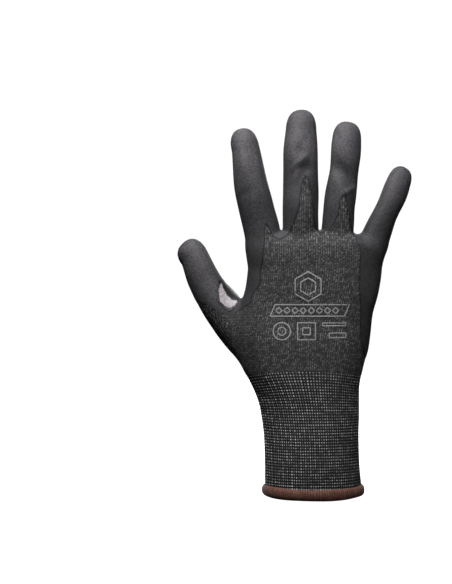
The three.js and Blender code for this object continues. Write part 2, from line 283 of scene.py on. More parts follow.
# Soft waves of the cloth: how many, their shortest and longest length, and their height.
clothWaves = {"count": 26, "shortest": 11.0, "longest": 46.0, "height": 0.10, "cuffShare": 0.45,
              "weakBelow": 60, "fullAbove": 110}
waveTurns = rng.normal(size=(clothWaves["count"], 3))
waveTurns /= np.linalg.norm(waveTurns, axis=1, keepdims=True)
waveLengths = rng.uniform(clothWaves["shortest"], clothWaves["longest"], (clothWaves["count"], 1))
waveTurns *= 2 * math.pi / waveLengths
waveStarts = rng.uniform(0, 2 * math.pi, clothWaves["count"])


def relief(points):
    # how far the cloth stands out from the plain form
    x, y, z = points.T
    calm = clothWaves["cuffShare"]
    strength = calm + (1 - calm) * easeBetween(clothWaves["weakBelow"], clothWaves["fullAbove"], z)
    lift = clothWaves["height"] * strength * np.sin(points @ waveTurns.T + waveStarts).sum(axis=1)
    facing = easeBetween(foldSide["none"], foldSide["full"], y)
    for foldX, foldZ, length, breadth, turn, height in backFolds:
        c, s = math.cos(math.radians(turn)), math.sin(math.radians(turn))
        along = (x - foldX) * c + (z - foldZ) * s
        across = (z - foldZ) * c - (x - foldX) * s
        lift += height * facing * np.exp(-((along / length) ** 2) - (across / breadth) ** 2)
    return lift


def blendedMinimum(first, second, radius):
    # the smaller of two fields, rounded where they are within a radius of each other
    share = np.clip(0.5 + 0.5 * (second - first) / radius, 0.0, 1.0)
    return second * (1 - share) + first * share - radius * share * (1 - share)


def gloveField(points, hollows=True):
    # the hand joined to its digits one by one, less the relief of the cloth
    field = handField(points)
    for name, form in digitForms.items():
        field = blendedMinimum(field, digitField(points, form), webRadius[name])
    return field - relief(points) if hollows else field


def gloveGradient(points, step=0.25):
    # the field's slope in X, Y and Z, from its values half way either side
    slopes = [gloveField(points + step * axis) - gloveField(points - step * axis) for axis in np.eye(3)]
    return np.stack(slopes, axis=1) / (2 * step)


# The skin.
skinGrid = {"low": (-92.0, -27.0, 71.0), "high": (70.0, 36.0, 246.0), "pitch": 1.0, "block": 400000,
            "rounds": 3, "longestPull": 1.5, "leastSlope": 0.05}


def fieldOnGrid():
    # the plain field at every point of a box of evenly spaced points
    low, high, pitch = np.array(skinGrid["low"]), np.array(skinGrid["high"]), skinGrid["pitch"]
    lines = [np.arange(low[k], high[k] + pitch / 2, pitch) for k in range(3)]
    points = np.stack(np.meshgrid(*lines, indexing="ij"), axis=-1).reshape(-1, 3)
    blocks = np.array_split(points, len(points) // skinGrid["block"] + 1)
    values = np.concatenate([gloveField(block, hollows=False) for block in blocks])
    return values.reshape([len(line) for line in lines])


def netOver(values):
    # one point in each cell that the surface crosses, at the mean of its crossings,
    # and a quad round each crossed edge
    inside = values < 0
    corners = np.array([(i, j, k) for i in (0, 1) for j in (0, 1) for k in (0, 1)])
    size = np.array(values.shape) - 1
    count = sum(inside[i:i + size[0], j:j + size[1], k:k + size[2]].astype(int) for i, j, k in corners)
    cells = np.argwhere((count > 0) & (count < 8))
    number = np.full(tuple(size), -1)
    number[tuple(cells.T)] = np.arange(len(cells))
    total = np.zeros((len(cells), 3))
    crossings = np.zeros(len(cells))
    for a in corners:
        for axis in range(3):
            if a[axis]:
                continue
            b = a + np.eye(3, dtype=int)[axis]
            first = values[tuple((cells + a).T)]
            second = values[tuple((cells + b).T)]
            crossed = (first < 0) != (second < 0)
            share = np.where(crossed, first / np.where(crossed, first - second, 1.0), 0.0)
            total += crossed[:, None] * (a + share[:, None] * (b - a))
            crossings += crossed
    points = cells + total / crossings[:, None]
    quads = []
    for axis in range(3):
        b, c = (axis + 1) % 3, (axis + 2) % 3
        before = np.take(inside, np.arange(size[axis]), axis=axis)
        after = np.take(inside, np.arange(1, size[axis] + 1), axis=axis)
        edges = np.argwhere(before != after)
        free = (edges[:, b] > 0) & (edges[:, c] > 0) & (edges[:, b] < size[b]) & (edges[:, c] < size[c])
        edges = edges[free]
        stepB, stepC = np.eye(3, dtype=int)[b], np.eye(3, dtype=int)[c]
        ring = [number[tuple((edges - step).T)] for step in (0 * stepB, stepB, stepB + stepC, stepC)]
        ring = np.stack(ring, axis=1)
        outwards = before[tuple(edges.T)]
        quads.append(np.where(outwards[:, None], ring, ring[:, ::-1]))
    quads = np.concatenate(quads)
    return points * skinGrid["pitch"] + np.array(skinGrid["low"]), quads[(quads >= 0).all(axis=1)]


def pulledToSkin(points):
    # each point goes down its slope to where the field is 0, by a limited step
    gradient = gloveGradient(points)
    steep = np.maximum((gradient**2).sum(axis=1), skinGrid["leastSlope"])
    shift = -(gloveField(points) / steep)[:, None] * gradient
    reach = np.linalg.norm(shift, axis=1, keepdims=True)
    return points + shift * np.minimum(1.0, skinGrid["longestPull"] / np.maximum(reach, 1e-9))


def evenedOut(points, quads):
    # each point moves halfway to the mean of its neighbours
    ends = np.concatenate([quads[:, (k, (k + 1) % 4)] for k in range(4)])
    total = np.stack([np.bincount(ends[:, 0], points[ends[:, 1], k], len(points)) for k in range(3)], axis=1)
    total += np.stack([np.bincount(ends[:, 1], points[ends[:, 0], k], len(points)) for k in range(3)], axis=1)
    count = np.bincount(ends.ravel(), minlength=len(points))
    return 0.5 * points + 0.5 * total / count[:, None]


skinPoints, skinQuads = netOver(fieldOnGrid())
for turn in range(skinGrid["rounds"]):
    skinPoints = pulledToSkin(evenedOut(skinPoints, skinQuads))
skinPoints = pulledToSkin(skinPoints)
skinNormals = gloveGradient(skinPoints)
skinNormals /= np.linalg.norm(skinNormals, axis=1, keepdims=True)
print("skin has", len(skinQuads), "faces")

# Where the foam dip ends.
# The knit shows on the back inside this outline (X, Z), and everywhere below the dip line.
knitWindow = np.array((
    (-95, 121), (-68, 120), (-62.5, 117.5), (-57, 113.5), (-51, 112.5), (-45, 115.5), (-39, 120),
    (-37.5, 126.5), (-33.5, 131), (-32.5, 140), (-31, 152.5), (-30.5, 162), (-29.5, 168.5), (-27.5, 166),
    (-25.5, 160.5), (-21.5, 158.5), (-16, 162), (-12.5, 168.5), (-9.5, 179.5), (-7.5, 194), (-5.5, 197.5),
    (-3.5, 196.5), (-1.5, 187.5), (-0.5, 176.5), (0.5, 167), (3.5, 162), (9, 164.5), (14, 173), (15.5, 182),
    (17.5, 188.5), (19, 187.5), (20.5, 180.5), (22, 171.5), (24.5, 161), (27.5, 155), (28.5, 148.5),
    (28, 140), (27.5, 132), (28.5, 119), (28.5, 104), (29.5, 92), (33, 60), (-95, 60),
), float)
dipEdge = {"inner": -2.2, "outer": 2.8, "wander": 0.3, "wanderLength": 7.0, "fadeLow": 83.0, "fadeHigh": 93.0,
           "fadeWander": 2.2, "fadeLength": 16.0, "turnLow": -0.02, "turnHigh": 0.30}
# A thin share of foam cover on the thumb's root, which darkens the knit and dims its flecks there: how much,
# and where it starts and is full.
thinRootCover = {"share": 0.19, "side": (-22.0, -38.0), "top": (126.0, 116.0), "bottom": (79.0, 88.0)}


def outsideWindow(x, z):
    # distance from the outline in the XZ plane, positive outside it
    point = np.stack((x, z), axis=1)
    nearest = np.full(len(point), np.inf)
    inside = np.zeros(len(point), bool)
    for first, second in zip(knitWindow, np.roll(knitWindow, -1, axis=0)):
        edge = second - first
        share = np.clip((point - first) @ edge / (edge @ edge), 0.0, 1.0)
        nearest = np.minimum(nearest, np.linalg.norm(point - first - share[:, None] * edge, axis=1))
        spans = (first[1] > z) != (second[1] > z)
        if edge[1]:
            inside ^= spans & (x < first[0] + (z - first[1]) / edge[1] * edge[0])
    return np.where(inside, -nearest, nearest)


def wander(points, length, seed, count=9):
    # slow random drift between about -1 and 1, from a few sine waves
    turns = np.random.default_rng(seed)
    waves = turns.normal(size=(count, 3))
    waves *= 2 * math.pi / length / np.linalg.norm(waves, axis=1, keepdims=True)
    return np.sin(points @ waves.T + turns.uniform(0, 2 * math.pi, count)).sum(axis=1) / math.sqrt(count)


def coatCover(points, normals):
    # 0 where the knit is bare and 1 under full foam
    x, z = points[:, 0], points[:, 2]
    drift = dipEdge["wander"] * wander(points, dipEdge["wanderLength"], 21)
    onBack = easeBetween(dipEdge["inner"], dipEdge["outer"], outsideWindow(x, z) + drift)
    onPalm = easeBetween(dipEdge["turnLow"], dipEdge["turnHigh"], normals[:, 1])
    height = z + dipEdge["fadeWander"] * wander(points, dipEdge["fadeLength"], 22)
    fade = easeBetween(dipEdge["fadeLow"], dipEdge["fadeHigh"], height)
    # the thin cover on the thumb's root, which darkens the knit there
    soaked = thinRootCover["share"] * easeBetween(*thinRootCover["side"], x)
    soaked *= easeBetween(*thinRootCover["top"], z) * easeBetween(*thinRootCover["bottom"], z)
    return np.maximum(np.maximum(onBack, onPalm) * fade, soaked)


skinCover = coatCover(skinPoints, skinNormals)

# Knit columns and rows.
# The knit has a fixed number of columns round the hand, counted from the middle of the back.
knit = {"columns": 152, "rowHeight": 0.98, "tableSteps": 720, "fingersLow": 135.0, "fingersHigh": 150.0,
        "halfWidth": 36.0, "halfDepth": 18.5, "squareness": 2.35}


def roundTable():
    # share of the way round a hand section against the angle of its outline, from 0 at the middle of the palm
    turn = np.linspace(0.0, 2 * math.pi, knit["tableSteps"] + 1)
    x = -knit["halfWidth"] * signedPower(np.sin(turn), 2 / knit["squareness"])
    y = knit["halfDepth"] * signedPower(np.cos(turn), 2 / knit["squareness"])
    return turn, shareGone(x, y)


tableTurn, tableShare = roundTable()


def knitPlace(points):
    # column and row numbers of the knit at each point
    x, y, z = points.T
    part = handSection(z)
    depth = np.where(y < 0, part["back"], part["palm"])
    power = part["squareness"] / 2
    across = np.clip((x - part["middle"]) / part["width"], -1.6, 1.6)
    sine = -signedPower(across, power)
    fromDepth = signedPower(y / depth, power)
    fromSide = np.sign(y) * np.sqrt(np.clip(1 - np.abs(across) ** part["squareness"], 0.0, 1.0))
    byFingers = easeBetween(knit["fingersLow"], knit["fingersHigh"], z)
    cosine = fromDepth + byFingers * (fromSide - fromDepth)
    turn = np.mod(np.arctan2(sine, cosine), 2 * math.pi)
    column = np.interp(turn, tableTurn, tableShare) * knit["columns"]
    return np.stack((column, z / knit["rowHeight"]), axis=1)


skinKnit = knitPlace(skinPoints)

# What moves with what.
# Each part starts this far before its joint's pivot, along the finger.
fingerReach = {"root": 6.0, "mid": 5.4, "tip": 4.8}
bendReach = {"index": fingerReach, "middle": fingerReach, "ring": fingerReach,
             "little": {"root": 5.4, "mid": 4.8, "tip": 4.4}, "thumb": {"mid": 4.4, "tip": 4.8}}
thumbRoot = {"from": (-42.5, 6.0, 124.0), "towards": (-0.80, 0.10, 0.58), "length": 8.5}
wristBend = {"low": 66.0, "high": 93.0, "ribEnd": 79.0, "split": 64.0, "sag": 3.5, "overlap": 0.5,
             "tuck": 0.4}
cutMargin = 0.5


def pivotOf(name):
    # a hinge's place in the frame, in millimetres
    return np.array(joints[name]["pos_m"]) / mm


bends = {}
for digit, form in digitForms.items():
    for part, reach in bendReach[digit].items():
        pivot = pivotOf(digit + "_" + part + "_flex")
        bends[digit, part] = (pivot - form["along"] * reach, pivot + form["along"] * reach)
thumbStart = np.array(thumbRoot["from"])
bends["thumb", "root"] = (thumbStart, thumbStart + unit(thumbRoot["towards"]) * thumbRoot["length"])


def beyond(points, cut):
    # how far past the start of a bend
    start, end = cut
    return (points - start) @ unit(end - start) + cutMargin


def territories(quads):
    # which part of the glove each face belongs to
    centres = skinPoints[quads].mean(axis=1)
    names = list(digitForms)
    fields = np.stack([digitField(centres, digitForms[name]) for name in names], axis=1)
    nearest = np.array(names)[fields.argmin(axis=1)]
    side = (centres[:, 0] - handSection(centres[:, 2])["middle"]) / handSection(centres[:, 2])["width"]
    height = centres[:, 2] + wristBend["sag"] * np.minimum(side**2, 1.0)
    where = np.where(centres[:, 2] < wristBend["high"], "wrist", "palm").astype(object)
    where[height < wristBend["ribEnd"] - wristBend["overlap"]] = "none"
    body = handField(centres)
    for name in names:
        mine = (nearest == name) & (beyond(centres, bends[name, "root"]) > 0)
        if name == "thumb":
            mine &= (fields[:, names.index(name)] < body) & (centres[:, 2] > wristBend["high"] + 1.0)
            mine &= centres[:, 0] < thumbRoot["from"][0] + 2.0
        inMid = beyond(centres, bends[name, "mid"]) > 0
        inTip = beyond(centres, bends[name, "tip"]) > 0
        where[mine] = name + "_root"
        where[mine & inMid] = name + "_mid"
        where[mine & inTip] = name + "_tip"
    return where


skinParts = territories(skinQuads)
print("skin is shared out over", len(set(skinParts)) - 1, "parts")


def levelPull(points, leastSlope=0.2):
    # each point goes to the skin at its own height
    slope = gloveGradient(points)
    slope[:, 2] = 0.0
    shift = gloveField(points) / np.maximum((slope**2).sum(axis=1), leastSlope)
    return points - shift[:, None] * slope


def levelledEdge():
    # the lowest points of the knit skin sit on one clean curve above the rib
    kept = skinParts != "none"
    lowest = np.intersect1d(skinQuads[kept].ravel(), skinQuads[~kept].ravel())
    for turn in range(3):
        points = skinPoints[lowest]
        part = handSection(points[:, 2])
        side = np.minimum(((points[:, 0] - part["middle"]) / part["width"]) ** 2, 1.0)
        points[:, 2] = wristBend["ribEnd"] - wristBend["tuck"] - wristBend["sag"] * side
        skinPoints[lowest] = levelPull(points)


levelledEdge()


# Closed shells.
def shell(points, normals, quads, lift, sink):
    # an outer and an inner sheet a little apart, joined all round their open edges
    used, local = np.unique(quads, return_inverse=True)
    local = local.reshape(quads.shape)
    count = len(used)
    outward = normals[used]
    outer = points[used] + outward * np.broadcast_to(lift, len(points))[used][:, None]
    inner = points[used] + outward * np.broadcast_to(sink, len(points))[used][:, None]
    edges = np.concatenate([local[:, (k, (k + 1) % 4)] for k in range(4)])
    key = edges.min(axis=1) * count + edges.max(axis=1)
    first, uses = np.unique(key, return_index=True, return_counts=True)[1:]
    rim = edges[first[uses == 1]]
    walls = np.stack((rim[:, 1], rim[:, 0], rim[:, 0] + count, rim[:, 1] + count), axis=1)
    faces = np.concatenate((local, local[:, ::-1] + count, walls))
    bothNormals = np.concatenate((outward, -outward))
    return np.concatenate((outer, inner)), bothNormals, faces, np.concatenate((used, used))


def makePiece(name, points, faces, material, normals=None, knitUv=None, period=0, cover=None, paintedTipLight=None):
    # a smooth mesh with its own normals, a knit map that closes after one period, and point values
    mesh = bpy.data.meshes.new(name)
    mesh.from_pydata(np.asarray(points) * mm, [], faces.tolist() if hasattr(faces, "tolist") else faces)
    mesh.polygons.foreach_set("use_smooth", np.ones(len(mesh.polygons), bool))
    if knitUv is not None:
        pointOf = np.zeros(len(mesh.loops), int)
        mesh.loops.foreach_get("vertex_index", pointOf)
        uv = knitUv[pointOf].astype(float)
        faceOf = np.repeat(np.arange(len(mesh.polygons)), 4)
        if period:
            highest = np.maximum.reduceat(uv[:, 0], np.arange(0, len(uv), 4))[faceOf]
            uv[:, 0] += period * (highest - uv[:, 0] > period / 2)
        mesh.uv_layers.new(name="knit").data.foreach_set("uv", uv.ravel())
    if cover is not None:
        mesh.attributes.new("cover", "FLOAT", "POINT").data.foreach_set("value", cover)
    # the share of painted light towards the tips, read by the foam
    if paintedTipLight is not None:
        mesh.attributes.new("paintedTipLight", "FLOAT", "POINT").data.foreach_set("value", paintedTipLight)
    mesh.update()
    if normals is not None:
        mesh.normals_split_custom_set_from_vertices(normals)
    mesh.materials.append(material)
    piece = bpy.data.objects.new(name, mesh)
    bpy.context.scene.collection.objects.link(piece)
    return piece


# Shader helpers.
def newGroup(name, takes, gives):
    # an empty group with named sockets, and its first and last node
    tree = bpy.data.node_groups.new(name, "ShaderNodeTree")
    for label, kind in takes.items():
        tree.interface.new_socket(name=label, in_out="INPUT", socket_type=kind)
    for label, kind in gives.items():
        tree.interface.new_socket(name=label, in_out="OUTPUT", socket_type=kind)
    return tree, tree.nodes.new("NodeGroupInput"), tree.nodes.new("NodeGroupOutput")


def node(tree, kind, takes=None, **settings):
    # a node with its settings, then each input linked or set
    made = tree.nodes.new(kind)
    for key, value in settings.items():
        setattr(made, key, value)
    for key, value in (takes or {}).items():
        if isinstance(value, bpy.types.NodeSocket):
            tree.links.new(value, made.inputs[key])
        else:
            made.inputs[key].default_value = value
    return made


def calc(tree, operation, *values, clamp=False):
    made = node(tree, "ShaderNodeMath", dict(enumerate(values)), operation=operation, use_clamp=clamp)
    return made.outputs[0]


def times(tree, first, second):
    return calc(tree, "MULTIPLY", first, second)


def chanceOf(tree, *numbers):
    # a random value for each set of whole numbers
    place = node(tree, "ShaderNodeCombineXYZ", dict(enumerate(numbers))).outputs[0]
    return node(tree, "ShaderNodeTexWhiteNoise", {"Vector": place}, noise_dimensions="3D").outputs["Value"]


def spread(tree, value, low, high, newLow=0.0, newHigh=1.0):
    # a smooth step from newLow up to newHigh as the value goes from low to high
    takes = {"Value": value, "From Min": low, "From Max": high, "To Min": newLow, "To Max": newHigh}
    return node(tree, "ShaderNodeMapRange", takes, interpolation_type="SMOOTHSTEP").outputs[0]


def blendColours(tree, share, first, second, mode="MIX"):
    made = node(tree, "ShaderNodeMix", data_type="RGBA", blend_type=mode)
    for key, value in ((0, share), (6, first), (7, second)):
        if isinstance(value, bpy.types.NodeSocket):
            tree.links.new(value, made.inputs[key])
        else:
            made.inputs[key].default_value = value
    return made.outputs[2]


def darkened(tree, colour, share):
    grey = node(tree, "ShaderNodeCombineColor", {0: share, 1: share, 2: share}).outputs[0]
    return blendColours(tree, 1.0, colour, grey, "MULTIPLY")


def noiseIn(tree, place, scale, detail=2.0, stretch=None):
    if stretch:
        place = node(tree, "ShaderNodeVectorMath", {0: place, 1: stretch}, operation="MULTIPLY").outputs[0]
    return node(tree, "ShaderNodeTexNoise", {"Vector": place, "Scale": scale, "Detail": detail}).outputs[0]


def offCentre(tree, value):
    # how far the value is past the middle of its cell
    return calc(tree, "SUBTRACT", calc(tree, "FRACT", value), 0.5)


def finishGroup(tree, end, **values):
    for label, value in values.items():
        tree.links.new(value, end.inputs[label])
    return tree


def buildLoops():
    # V-shaped stitches in a grid of columns and rows, each leg with its own random value
    tree, start, end = newGroup("knitLoops", {"Stitches": "NodeSocketVector", "Lean": "NodeSocketFloat"},
                                {"Height": "NodeSocketFloat", "Stroke": "NodeSocketFloat",
                                 "Chance": "NodeSocketFloat"})
    cell = node(tree, "ShaderNodeSeparateXYZ", {0: start.outputs["Stitches"]})
    across = offCentre(tree, cell.outputs["X"])
    away = calc(tree, "ABSOLUTE", across)
    raised = calc(tree, "ADD", cell.outputs["Y"], times(tree, away, start.outputs["Lean"]))
    along = offCentre(tree, raised)
    legSide = calc(tree, "DIVIDE", calc(tree, "SUBTRACT", away, 0.25), 0.25)
    legRound = calc(tree, "SUBTRACT", 1.0, times(tree, legSide, legSide), clamp=True)
    rowRound = calc(tree, "SUBTRACT", 1.0, times(tree, times(tree, along, along), 4.0), clamp=True)
    height = times(tree, legRound, calc(tree, "POWER", rowRound, 0.7))
    leg = calc(tree, "FLOOR", times(tree, cell.outputs["X"], 2.0))
    chance = chanceOf(tree, leg, calc(tree, "FLOOR", raised))
    facing = calc(tree, "LESS_THAN", across, 0.0)
    stroke = times(tree, height, spread(tree, facing, 0.0, 1.0, 0.3, 1.0))
    return finishGroup(tree, end, Height=height, Stroke=stroke, Chance=chance)


def buildGrain():
    # fine speckle of cured foam over a soft cloudy drift
    tree, start, end = newGroup("foamGrain", {"Place": "NodeSocketVector"},
                                {"Speckle": "NodeSocketFloat", "Cloud": "NodeSocketFloat",
                                 "Height": "NodeSocketFloat"})
    place = start.outputs["Place"]
    fine = noiseIn(tree, place, 1450.0, 1.0)
    middle = noiseIn(tree, place, 700.0, 2.0)
    speckle = calc(tree, "ADD", times(tree, fine, 0.7), times(tree, middle, 0.3))
    height = calc(tree, "ADD", times(tree, fine, 0.4), times(tree, middle, 0.6))
    return finishGroup(tree, end, Speckle=speckle, Cloud=noiseIn(tree, place, 70.0, 2.0), Height=height)


def buildDots():
    # rows of rounded loops, in pairs, with the odd dim one and dark gaps between the rows
    tree, start, end = newGroup("ribDots", {"Stitches": "NodeSocketVector", "Place": "NodeSocketVector"},
                                {"Dot": "NodeSocketFloat", "Height": "NodeSocketFloat"})
    cell = node(tree, "ShaderNodeSeparateXYZ", {0: start.outputs["Stitches"]})
    across = offCentre(tree, cell.outputs["X"])
    along = offCentre(tree, cell.outputs["Y"])
    away = calc(tree, "SQRT", calc(tree, "ADD", times(tree, times(tree, across, across), 3.8),
                                   times(tree, times(tree, along, along), 3.2)))
    loop = spread(tree, away, 0.62, 0.16)
    column = calc(tree, "FLOOR", cell.outputs["X"])
    chance = chanceOf(tree, column, calc(tree, "FLOOR", cell.outputs["Y"]))
    drift = noiseIn(tree, start.outputs["Place"], 95.0, 2.0, (1.0, 1.0, 2.2))
    bright = times(tree, spread(tree, chance, 0.0, 1.0, 0.4, 1.2), spread(tree, drift, 0.3, 0.7, 0.6, 1.2))
    second = calc(tree, "MODULO", column, 2.0)
    bright = times(tree, bright, spread(tree, second, 0.0, 1.0, 1.0, 0.66))
    return finishGroup(tree, end, Dot=times(tree, loop, bright), Height=loop)


loopGroup, grainGroup, dotGroup = buildLoops(), buildGrain(), buildDots()


def newMaterial(name, finish):
    # a material, its tree and its shader with the even values set
    material = bpy.data.materials.new(name)
    material.use_nodes = True
    tree = material.node_tree
    shader = tree.nodes["Principled BSDF"]
    for key, value in finish.items():
        shader.inputs[key].default_value = value
    return material, tree, shader


def bumpFrom(tree, shader, height, strength, distance):
    # a bump of this height in metres
    bump = node(tree, "ShaderNodeBump", {"Height": height, "Strength": strength, "Distance": distance})
    tree.links.new(bump.outputs["Normal"], shader.inputs["Normal"])


def objectPlace(tree):
    return tree.nodes.new("ShaderNodeTexCoord").outputs["Object"]


def knitMap(tree):
    return node(tree, "ShaderNodeUVMap", uv_map="knit").outputs[0]


def pieceValue(tree, name):
    return node(tree, "ShaderNodeAttribute", attribute_name=name).outputs["Fac"]


knitLook = {"gap": (0.020, 0.020, 0.021, 1), "yarn": (0.046, 0.046, 0.048, 1),
            "fleck": (0.29, 0.29, 0.285, 1), "soaked": (0.044, 0.043, 0.045, 1), "roughness": 0.88,
            "lean": 1.2, "bump": 0.75}


def makeKnit():
    # dark loops with light flecks that come in bunches, darker where the cover value rises: where foam has
    # soaked in at the dip's edge, and on the thumb's root
    material, tree, shader = newMaterial("knit_liner", {"Roughness": knitLook["roughness"],
                                                        "Specular IOR Level": 0.25})
    loops = node(tree, "ShaderNodeGroup", {"Stitches": knitMap(tree), "Lean": knitLook["lean"]},
                 node_tree=loopGroup)
    bunches = noiseIn(tree, objectPlace(tree), 480.0, 2.0, (0.7, 1.0, 1.2))
    fleck = times(tree, spread(tree, loops.outputs["Chance"], 0.05, 1.0), loops.outputs["Stroke"])
    fleck = times(tree, fleck, spread(tree, bunches, 0.36, 0.62, 0.35, 1.15))
    colour = blendColours(tree, loops.outputs["Height"], knitLook["gap"], knitLook["yarn"])
    colour = blendColours(tree, fleck, colour, knitLook["fleck"])
    soaked = spread(tree, pieceValue(tree, "cover"), 0.02, 0.6)
    colour = blendColours(tree, soaked, colour, knitLook["soaked"])
    tree.links.new(colour, shader.inputs["Base Color"])
    bumpFrom(tree, shader, loops.outputs["Height"], knitLook["bump"], 0.0005)
    return material


ribLook = {"gap": (0.026, 0.026, 0.027, 1), "dot": (0.76, 0.76, 0.74, 1), "roughness": 0.85, "bump": 0.8}


def makeRib():
    # light dots on dark yarn
    material, tree, shader = newMaterial("rib_cuff", {"Roughness": ribLook["roughness"],
                                                      "Specular IOR Level": 0.25})
    dots = node(tree, "ShaderNodeGroup", {"Stitches": knitMap(tree), "Place": objectPlace(tree)},
                node_tree=dotGroup)
    colour = blendColours(tree, dots.outputs["Dot"], ribLook["gap"], ribLook["dot"])
    tree.links.new(colour, shader.inputs["Base Color"])
    bumpFrom(tree, shader, dots.outputs["Height"], ribLook["bump"], 0.0005)
    return material


# onHand and the tip gain set painted light: the foam is darker on the hand and paler towards the tips
foamLook = {"dark": (0.024, 0.0228, 0.0250, 1), "light": (0.066, 0.0620, 0.0685, 1), "roughness": 0.68,
            "onHand": 0.66, "paintedTipGain": 0.52, "bump": 0.35}


def makeFoam():
    # speckled and cloudy, with painted light that makes it paler towards the tips and darker on the hand,
    # breaking up where the dip runs out
    material, tree, shader = newMaterial("foam_nitrile", {"Roughness": foamLook["roughness"],
                                                          "Specular IOR Level": 0.30})
    grain = node(tree, "ShaderNodeGroup", {"Place": objectPlace(tree)}, node_tree=grainGroup)
    speckle = grain.outputs["Speckle"]
    colour = blendColours(tree, spread(tree, speckle, 0.34, 0.66), foamLook["dark"], foamLook["light"])
    colour = darkened(tree, colour, spread(tree, grain.outputs["Cloud"], 0.3, 0.7, 0.86, 1.1))
    # painted light: the colour is scaled down on the hand and brightened towards each tip
    paintedTipLight = times(tree, pieceValue(tree, "paintedTipLight"), foamLook["paintedTipGain"])
    colour = darkened(tree, colour, calc(tree, "ADD", foamLook["onHand"], paintedTipLight))
    tree.links.new(colour, shader.inputs["Base Color"])
    thick = calc(tree, "SUBTRACT", times(tree, pieceValue(tree, "cover"), 1.7), speckle)
    tree.links.new(spread(tree, thick, -0.25, 0.35), shader.inputs["Alpha"])
    bumpFrom(tree, shader, grain.outputs["Height"], foamLook["bump"], 0.0004)
    return material


# black is the dip's own colour; the two pale tones are a painted reflection on the crescent
patchLook = {"black": (0.006, 0.0055, 0.006, 1), "paintedReflectionDark": (0.20, 0.18, 0.192, 1),
             "paintedReflectionLight": (0.30, 0.272, 0.288, 1), "bump": 0.5}


def makePatch():
    # a black dip with a pale dimpled crescent painted in as a reflection of the lamps, where the roughness
    # also drops
    material, tree, shader = newMaterial("gloss_nitrile", {"Specular IOR Level": 0.38})
    dimples = noiseIn(tree, objectPlace(tree), 620.0, 3.0)
    # the cover value here holds the share of the painted reflection
    patchy = calc(tree, "ADD", times(tree, pieceValue(tree, "cover"), 1.25), times(tree, dimples, 0.95))
    paintedReflection = spread(tree, patchy, 1.05, 1.55)
    paintedReflectionTone = spread(tree, dimples, 0.35, 0.65)
    paintedReflectionTone = blendColours(tree, paintedReflectionTone, patchLook["paintedReflectionDark"], patchLook["paintedReflectionLight"])
    tree.links.new(blendColours(tree, paintedReflection, patchLook["black"], paintedReflectionTone), shader.inputs["Base Color"])
    tree.links.new(spread(tree, paintedReflection, 0.0, 1.0, 0.5, 0.38), shader.inputs["Roughness"])
    bumpFrom(tree, shader, dimples, patchLook["bump"], 0.0005)
    return material


hemLook = {"dark": (0.098, 0.036, 0.023, 1), "light": (0.190, 0.079, 0.055, 1),
           "gap": (0.022, 0.012, 0.009, 1), "gapShare": 0.62, "roughness": 0.8, "bump": 0.4}


def makeHem():
    # brown threads side by side, each with its own tone and dark at its edges
    material, tree, shader = newMaterial("hem_thread", {"Roughness": hemLook["roughness"],
                                                        "Specular IOR Level": 0.3, "Sheen Weight": 0.15})
    across = node(tree, "ShaderNodeSeparateXYZ", {0: knitMap(tree)}).outputs["X"]
    chance = chanceOf(tree, calc(tree, "FLOOR", across))
    fibre = noiseIn(tree, objectPlace(tree), 480.0, 2.0)
    tone = calc(tree, "ADD", times(tree, chance, 0.22), times(tree, fibre, 0.9))
    colour = blendColours(tree, spread(tree, tone, 0.3, 1.0), hemLook["dark"], hemLook["light"])
    gap = spread(tree, calc(tree, "ABSOLUTE", offCentre(tree, across)), 0.18, 0.5, 0.0, hemLook["gapShare"])
    tree.links.new(blendColours(tree, gap, colour, hemLook["gap"]), shader.inputs["Base Color"])
    bumpFrom(tree, shader, fibre, hemLook["bump"], 0.0003)
    return material


def makePrint():
    # grey ink, a little broken by the loops under it
    material, tree, shader = newMaterial("print_ink", {"Base Color": (0.31, 0.31, 0.315, 1), "Roughness": 0.6,
                                                       "Specular IOR Level": 0.3})
    broken = noiseIn(tree, objectPlace(tree), 900.0, 1.0)
    tree.links.new(spread(tree, broken, 0.28, 0.42, 0.5, 1.0), shader.inputs["Alpha"])
    return material


def makeElastic():
    # plain dark rubber
    material, tree, shader = newMaterial("elastic_yarn", {"Base Color": (0.02, 0.02, 0.02, 1),
                                                          "Roughness": 0.7})
    bumpFrom(tree, shader, noiseIn(tree, objectPlace(tree), 900.0, 2.0), 0.3, 0.0002)
    return material


finishes = {"knit_liner": makeKnit(), "rib_cuff": makeRib(), "foam_nitrile": makeFoam(),
            "gloss_nitrile": makePatch(), "hem_thread": makeHem(), "print_ink": makePrint(),
            "elastic_yarn": makeElastic()}
print("materials are built")

# Knit liner and foam dip.
liner = {"thickness": 1.05}
# plainUntil and besideDigit place the painted tip light on the digits' foam
foam = {"thin": 0.05, "thick": 0.34, "swell": 0.7, "gap": 0.02, "edge": 0.04, "plainUntil": 0.3,
        "besideDigit": 1.6}


def setMotion(piece, part):
    # the palm moves as one with its body, and every other part has its place baked into its mesh
    if part == "palm":
        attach(piece, "palm")
    elif part == "wrist":
        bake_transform(piece)
    else:
        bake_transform(piece)


def standIn(nodes):
    # hides the CAD nodes that the piece takes the place of
    if nodes:
        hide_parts(*nodes)


def nodesFor(part, ending, withCrease):
    # the CAD nodes of one part: its length of liner or dip, and the crease at its lower end
    if part == "wrist":
        return []
    if part == "palm":
        return ["palm_" + ending]
    digit, segment = part.split("_")
    own = {"root": "base", "mid": "mid", "tip": "tip"}[segment]
    crease = [part + "_crease"] if withCrease else []
    return [digit + "_" + own + "_" + ending] + crease


digitParts = [digit + "_" + segment for digit in digitForms for segment in ("root", "mid", "tip")]
foamHeight = foam["thin"] + foam["thick"] * np.clip(skinCover, 0, 1) ** foam["swell"]


